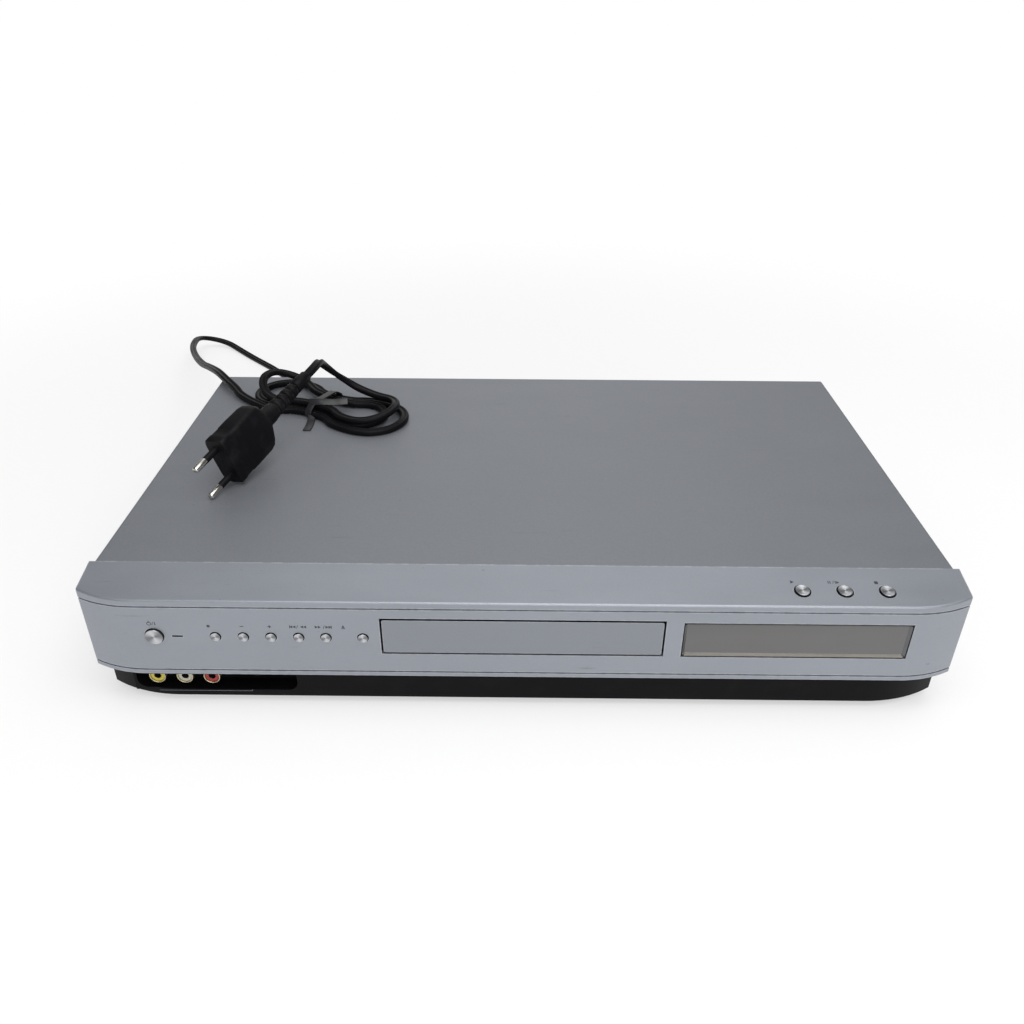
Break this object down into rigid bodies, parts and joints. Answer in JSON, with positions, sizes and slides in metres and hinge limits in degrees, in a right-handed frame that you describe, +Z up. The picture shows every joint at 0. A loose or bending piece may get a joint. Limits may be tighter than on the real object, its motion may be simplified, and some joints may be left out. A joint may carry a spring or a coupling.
{
  "type": "dvd recorder",
  "caption": "Low disc recorder with a sliding disc tray, display window, rounded metallic front, input sockets in a black lower strip, and a mains lead wound in a tied hank on top.",
  "frame": {"origin": "under the middle of the case, on the table", "axes": "+X to the right seen from the front, +Y to the back, +Z up"},
  "size_m": [0.5295, 0.5019, 0.1126],
  "materials": {
    "silver_plastic": "satin silver paint on plastic",
    "grey_sheet": "satin paint",
    "zinc_sheet": "plain zinc plated",
    "black_plastic": "gloss",
    "matt_black": "matt",
    "dark_window": "smoked gloss",
    "button_metal": "bright",
    "red": "gloss",
    "white": "gloss",
    "yellow": "gloss",
    "light": "clear",
    "rubber": "matt",
    "cord": "soft sheen",
    "board": "lacquered board",
    "steel": "plain",
    "grey_plastic": "moulded",
    "white_plastic": "moulded",
    "glass": "clear",
    "can": "plain"
  },
  "bodies": {
    "case": {"front_fascia": "silver_plastic", "lower_fascia": "black_plastic", "bottom_chassis": "zinc_sheet", "top_cover": "grey_sheet", "rear_panel": "zinc_sheet", "foot_pads": "rubber", "case_screws": "steel", "status_light": "light", "display_window": "dark_window", "control_board": "board", "display_board": "board", "display_tube": "glass", "front_video_socket": "yellow", "front_audio_left_socket": "white", "front_audio_right_socket": "red", "front_svideo_socket": "matt_black", "front_dv_socket": "matt_black", "front_jack_board": "board", "scart_sockets": "matt_black", "rear_jack_block": "matt_black", "tuner_module": "can", "main_board": "board", "power_board": "board", "fan_housing": "matt_black", "loading_belt": "rubber", "loading_motor": "can", "drive_frame": "grey_plastic", "clamp_bridge": "zinc_sheet", "cord_grommet": "matt_black", "cord_lead_in": "cord", "cord_hank": "cord", "cord_lead_out": "cord", "cord_tie": "matt_black", "mains_plug": "cord"},
    "tray": {"disc_tray": "grey_plastic", "tray_door": "silver_plastic"},
    "tray_gear_body": {"tray_gear": "white_plastic"},
    "reduction_pulley_body": {"reduction_pulley": "white_plastic"},
    "motor_pulley_body": {"motor_pulley": "white_plastic"},
    "traverse": {"traverse_frame": "grey_plastic", "guide_rods": "steel", "sled_motor": "can", "spindle_motor": "can"},
    "cam_slider_body": {"cam_slider": "white_plastic"},
    "turntable_body": {"turntable": "white_plastic"},
    "clamper_body": {"clamper": "white_plastic"},
    "pickup_body": {"pickup": "matt_black"},
    "lead_screw_body": {"lead_screw": "steel"},
    "fan_rotor_body": {"fan_rotor": "matt_black"},
    "power_button_body": {"power_button": "button_metal"},
    "record_button_body": {"record_button": "button_metal"},
    "program_down_button_body": {"program_down_button": "button_metal"},
    "program_up_button_body": {"program_up_button": "button_metal"},
    "rewind_button_body": {"rewind_button": "button_metal"},
    "forward_button_body": {"forward_button": "button_metal"},
    "open_close_button_body": {"open_close_button": "button_metal"},
    "play_button_body": {"play_button": "button_metal"},
    "pause_button_body": {"pause_button": "button_metal"},
    "stop_button_body": {"stop_button": "button_metal"}
  },
  "joints": [
    {"name": "tray_slide", "type": "slide", "parent": "case", "child": "tray", "axis": [0, -1, 0], "range_m": [0, 0.14]},
    {"name": "tray_gear_spin", "type": "hinge", "parent": "case", "child": "tray_gear_body", "pos_m": [-0.044, -0.1134, 0.0427], "axis": [0, 0, 1], "range_deg": [0, 618]},
    {"name": "reduction_pulley_spin", "type": "hinge", "parent": "case", "child": "reduction_pulley_body", "pos_m": [-0.025, -0.1134, 0.0427], "axis": [0, 0, 1], "range_deg": [-1337.9, 0]},
    {"name": "motor_pulley_spin", "type": "hinge", "parent": "case", "child": "motor_pulley_body", "pos_m": [0.012, -0.1134, 0.0384], "axis": [0, 0, 1], "range_deg": [-4501.3, 0]},
    {"name": "traverse_tilt", "type": "hinge", "parent": "case", "child": "traverse", "pos_m": [0, 0.0236, 0.034], "axis": [1, 0, 0], "range_deg": [0, 4.05]},
    {"name": "cam_slide", "type": "slide", "parent": "case", "child": "cam_slider_body", "axis": [1, 0, 0], "range_m": [0, 0.01201]},
    {"name": "turntable_spin", "type": "hinge", "parent": "traverse", "child": "turntable_body", "pos_m": [0, -0.0614, 0.0506], "axis": [0, 0, 1], "continuous": true},
    {"name": "clamper_spin", "type": "hinge", "parent": "case", "child": "clamper_body", "pos_m": [0, -0.0614, 0.0572], "axis": [0, 0, 1], "continuous": true},
    {"name": "pickup_slide", "type": "slide", "parent": "traverse", "child": "pickup_body", "axis": [0, 1, 0], "range_m": [0, 0.034]},
    {"name": "lead_screw_spin", "type": "hinge", "parent": "traverse", "child": "lead_screw_body", "pos_m": [0.0345, -0.0554, 0.04], "axis": [0, 1, 0], "range_deg": [0, 4081]},
    {"name": "fan_spin", "type": "hinge", "parent": "case", "child": "fan_rotor_body", "pos_m": [-0.114, 0.1096, 0.04], "axis": [0, 1, 0], "continuous": true},
    {"name": "power_button_press", "type": "slide", "parent": "case", "child": "power_button_body", "axis": [0, 1, 0], "range_m": [0, 0.0006], "stiffness_N_per_m": 500},
    {"name": "record_button_press", "type": "slide", "parent": "case", "child": "record_button_body", "axis": [0, 1, 0], "range_m": [0, 0.0006], "stiffness_N_per_m": 500},
    {"name": "program_down_button_press", "type": "slide", "parent": "case", "child": "program_down_button_body", "axis": [0, 1, 0], "range_m": [0, 0.0006], "stiffness_N_per_m": 500},
    {"name": "program_up_button_press", "type": "slide", "parent": "case", "child": "program_up_button_body", "axis": [0, 1, 0], "range_m": [0, 0.0006], "stiffness_N_per_m": 500},
    {"name": "rewind_button_press", "type": "slide", "parent": "case", "child": "rewind_button_body", "axis": [0, 1, 0], "range_m": [0, 0.0006], "stiffness_N_per_m": 500},
    {"name": "forward_button_press", "type": "slide", "parent": "case", "child": "forward_button_body", "axis": [0, 1, 0], "range_m": [0, 0.0006], "stiffness_N_per_m": 500},
    {"name": "open_close_button_press", "type": "slide", "parent": "case", "child": "open_close_button_body", "axis": [0, 1, 0], "range_m": [0, 0.0006], "stiffness_N_per_m": 500},
    {"name": "play_button_press", "type": "slide", "parent": "case", "child": "play_button_body", "axis": [0, 0.1887, -0.982], "range_m": [0, 0.0006], "stiffness_N_per_m": 500},
    {"name": "pause_button_press", "type": "slide", "parent": "case", "child": "pause_button_body", "axis": [0, 0.1887, -0.982], "range_m": [0, 0.0006], "stiffness_N_per_m": 500},
    {"name": "stop_button_press", "type": "slide", "parent": "case", "child": "stop_button_body", "axis": [0, 0.1887, -0.982], "range_m": [0, 0.0006], "stiffness_N_per_m": 500}
  ],
  "couplings": [
    {"joint": "tray_gear_spin", "follows": "tray_slide", "rad_per_m": 76.923},
    {"joint": "reduction_pulley_spin", "follows": "tray_slide", "rad_per_m": -166.67},
    {"joint": "motor_pulley_spin", "follows": "tray_slide", "rad_per_m": -561.03},
    {"joint": "cam_slide", "follows": "traverse_tilt", "m_per_rad": 0.16986},
    {"joint": "clamper_spin", "follows": "turntable_spin", "ratio": 1},
    {"joint": "lead_screw_spin", "follows": "pickup_slide", "rad_per_m": 2094.4}
  ]
}
